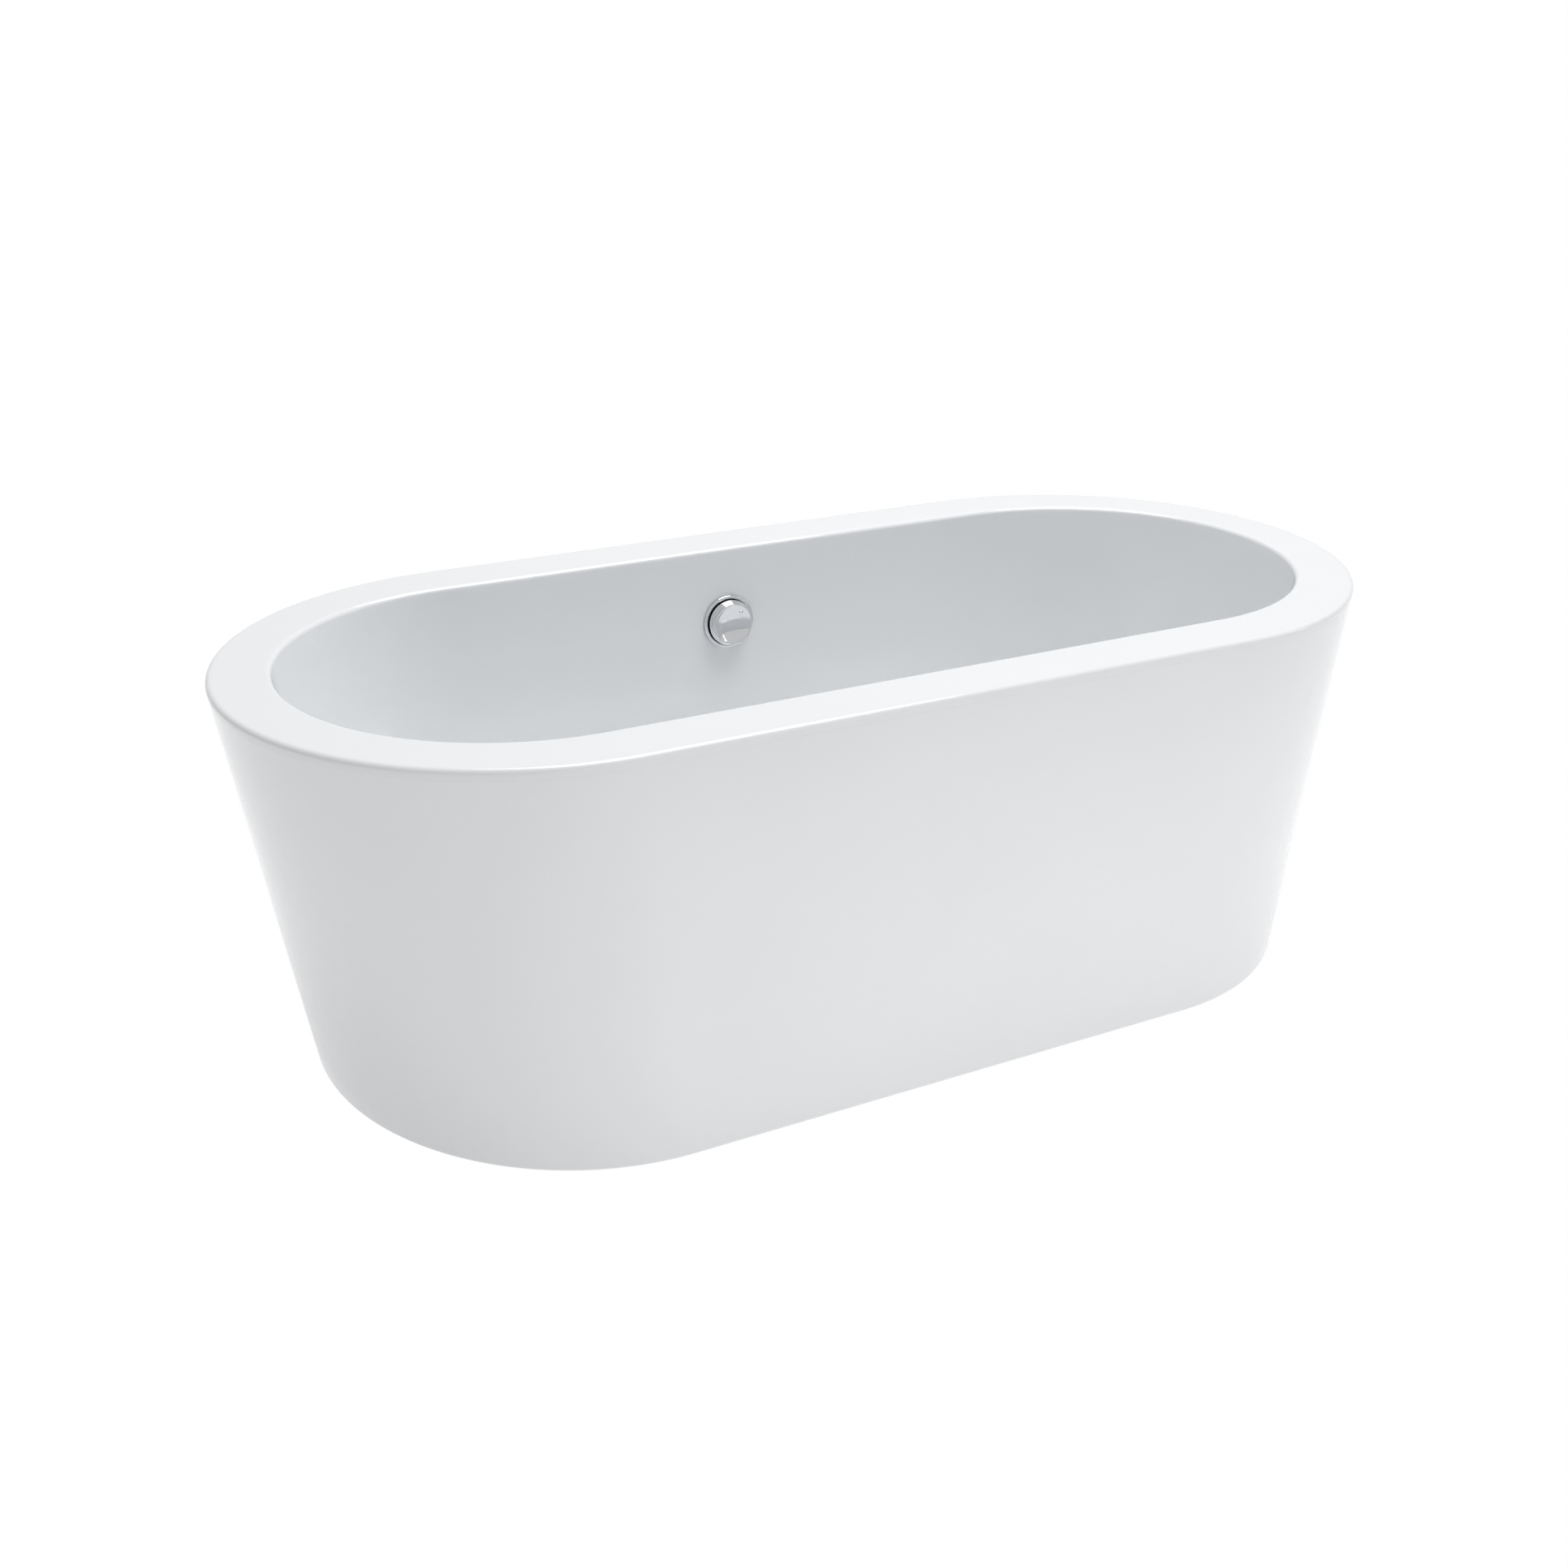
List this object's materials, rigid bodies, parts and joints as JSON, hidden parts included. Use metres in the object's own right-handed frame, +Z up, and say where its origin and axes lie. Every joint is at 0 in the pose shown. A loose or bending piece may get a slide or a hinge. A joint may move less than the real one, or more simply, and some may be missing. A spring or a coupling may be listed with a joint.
{
  "type": "freestanding bathtub",
  "caption": "Oval double-walled freestanding bathtub with tapered ends, flat rim, turn-knob overflow, pop-up drain and levelling feet.",
  "frame": {"origin": "centre of the footprint, on the floor under the feet", "axes": "+X along the tub, +Y towards the long wall with the overflow, +Z up"},
  "size_m": [1.6976, 0.8, 0.565],
  "materials": {
    "acrylic": "high gloss white acrylic",
    "laminate": "sprayed glass-fibre laminate",
    "plywood": "unfinished plywood",
    "batten_wood": "planed softwood",
    "frame_paint": "satin powder coat",
    "zinc": "zinc plated",
    "black_plastic": "moulded",
    "rubber": "moulded",
    "chrome": "bright chrome plate",
    "brass": "turned",
    "white_pipe": "extruded",
    "grey_hose": "corrugated",
    "cable_sheath": "extruded sheath"
  },
  "bodies": {
    "root": {"basin_shell": "acrylic", "basin_backing": "laminate", "skirt_shell": "acrylic", "skirt_backing": "laminate", "front_batten": "batten_wood", "back_batten": "batten_wood", "base_board": "plywood", "front_rail": "frame_paint", "back_rail": "frame_paint", "left_crossbar": "frame_paint", "right_crossbar": "frame_paint", "frame_end_plugs": "black_plastic", "board_screws": "zinc", "frame_bolts": "zinc", "frame_nuts": "zinc", "angle_brackets": "zinc", "bracket_screws": "zinc", "foot_weld_nuts": "zinc", "foot_lock_nuts": "zinc", "drain_flange": "chrome", "drain_flange_seal": "rubber", "drain_body": "black_plastic", "drain_body_seal": "rubber", "crank_cover": "black_plastic", "outlet_tailpiece": "white_pipe", "outlet_seal": "rubber", "outlet_nut": "black_plastic", "overflow_trim_ring": "chrome", "overflow_face_seal": "rubber", "overflow_back_seal": "rubber", "overflow_screws": "zinc", "overflow_body": "black_plastic", "chamber_cover": "black_plastic", "overflow_hose": "grey_hose", "upper_hose_nut": "black_plastic", "lower_hose_nut": "black_plastic", "hose_seals": "rubber", "control_cable": "cable_sheath", "cable_ferrules": "brass"},
    "knob": {"overflow_knob": "chrome", "knob_spindle": "brass", "cable_drum": "brass"},
    "plug": {"drain_plug": "chrome", "plug_seal": "rubber", "lift_pin": "brass"},
    "lift_crank": {"lift_crank": "brass"},
    "foot_pad_1": {"foot_pad_1": "black_plastic"},
    "foot_stud_1": {"foot_stud_1": "zinc"},
    "foot_pad_2": {"foot_pad_2": "black_plastic"},
    "foot_stud_2": {"foot_stud_2": "zinc"},
    "foot_pad_3": {"foot_pad_3": "black_plastic"},
    "foot_stud_3": {"foot_stud_3": "zinc"},
    "foot_pad_4": {"foot_pad_4": "black_plastic"},
    "foot_stud_4": {"foot_stud_4": "zinc"}
  },
  "joints": [
    {"name": "knob_turn", "type": "hinge", "parent": "root", "child": "knob", "pos_m": [0, 0.30225, 0.448], "axis": [0, -0.9983, 0.0576], "range_deg": [0, 120]},
    {"name": "plug_lift", "type": "slide", "parent": "root", "child": "plug", "axis": [0, 0, 1], "range_m": [0, 0.012]},
    {"name": "crank_turn", "type": "hinge", "parent": "root", "child": "lift_crank", "pos_m": [0, -0.02, 0.095], "axis": [1, 0, 0], "range_deg": [0, 35]},
    {"name": "foot_1_rise", "type": "slide", "parent": "root", "child": "foot_pad_1", "axis": [0, 0, -1], "range_m": [0, 0.012]},
    {"name": "foot_1_turn", "type": "hinge", "parent": "foot_pad_1", "child": "foot_stud_1", "pos_m": [-0.3672, -0.27052, 0.05], "axis": [0, 0, -1], "range_deg": [0, 2881]},
    {"name": "foot_2_rise", "type": "slide", "parent": "root", "child": "foot_pad_2", "axis": [0, 0, -1], "range_m": [0, 0.012]},
    {"name": "foot_2_turn", "type": "hinge", "parent": "foot_pad_2", "child": "foot_stud_2", "pos_m": [-0.3672, 0.27052, 0.05], "axis": [0, 0, -1], "range_deg": [0, 2881]},
    {"name": "foot_3_rise", "type": "slide", "parent": "root", "child": "foot_pad_3", "axis": [0, 0, -1], "range_m": [0, 0.012]},
    {"name": "foot_3_turn", "type": "hinge", "parent": "foot_pad_3", "child": "foot_stud_3", "pos_m": [0.3672, -0.27052, 0.05], "axis": [0, 0, -1], "range_deg": [0, 2881]},
    {"name": "foot_4_rise", "type": "slide", "parent": "root", "child": "foot_pad_4", "axis": [0, 0, -1], "range_m": [0, 0.012]},
    {"name": "foot_4_turn", "type": "hinge", "parent": "foot_pad_4", "child": "foot_stud_4", "pos_m": [0.3672, 0.27052, 0.05], "axis": [0, 0, -1], "range_deg": [0, 2881]}
  ],
  "couplings": [
    {"joint": "plug_lift", "follows": "knob_turn", "m_per_rad": 0.00572},
    {"joint": "crank_turn", "follows": "knob_turn", "ratio": 0.2916},
    {"joint": "foot_1_turn", "follows": "foot_1_rise", "rad_per_m": 4188.8},
    {"joint": "foot_2_turn", "follows": "foot_2_rise", "rad_per_m": 4188.8},
    {"joint": "foot_3_turn", "follows": "foot_3_rise", "rad_per_m": 4188.8},
    {"joint": "foot_4_turn", "follows": "foot_4_rise", "rad_per_m": 4188.8}
  ]
}
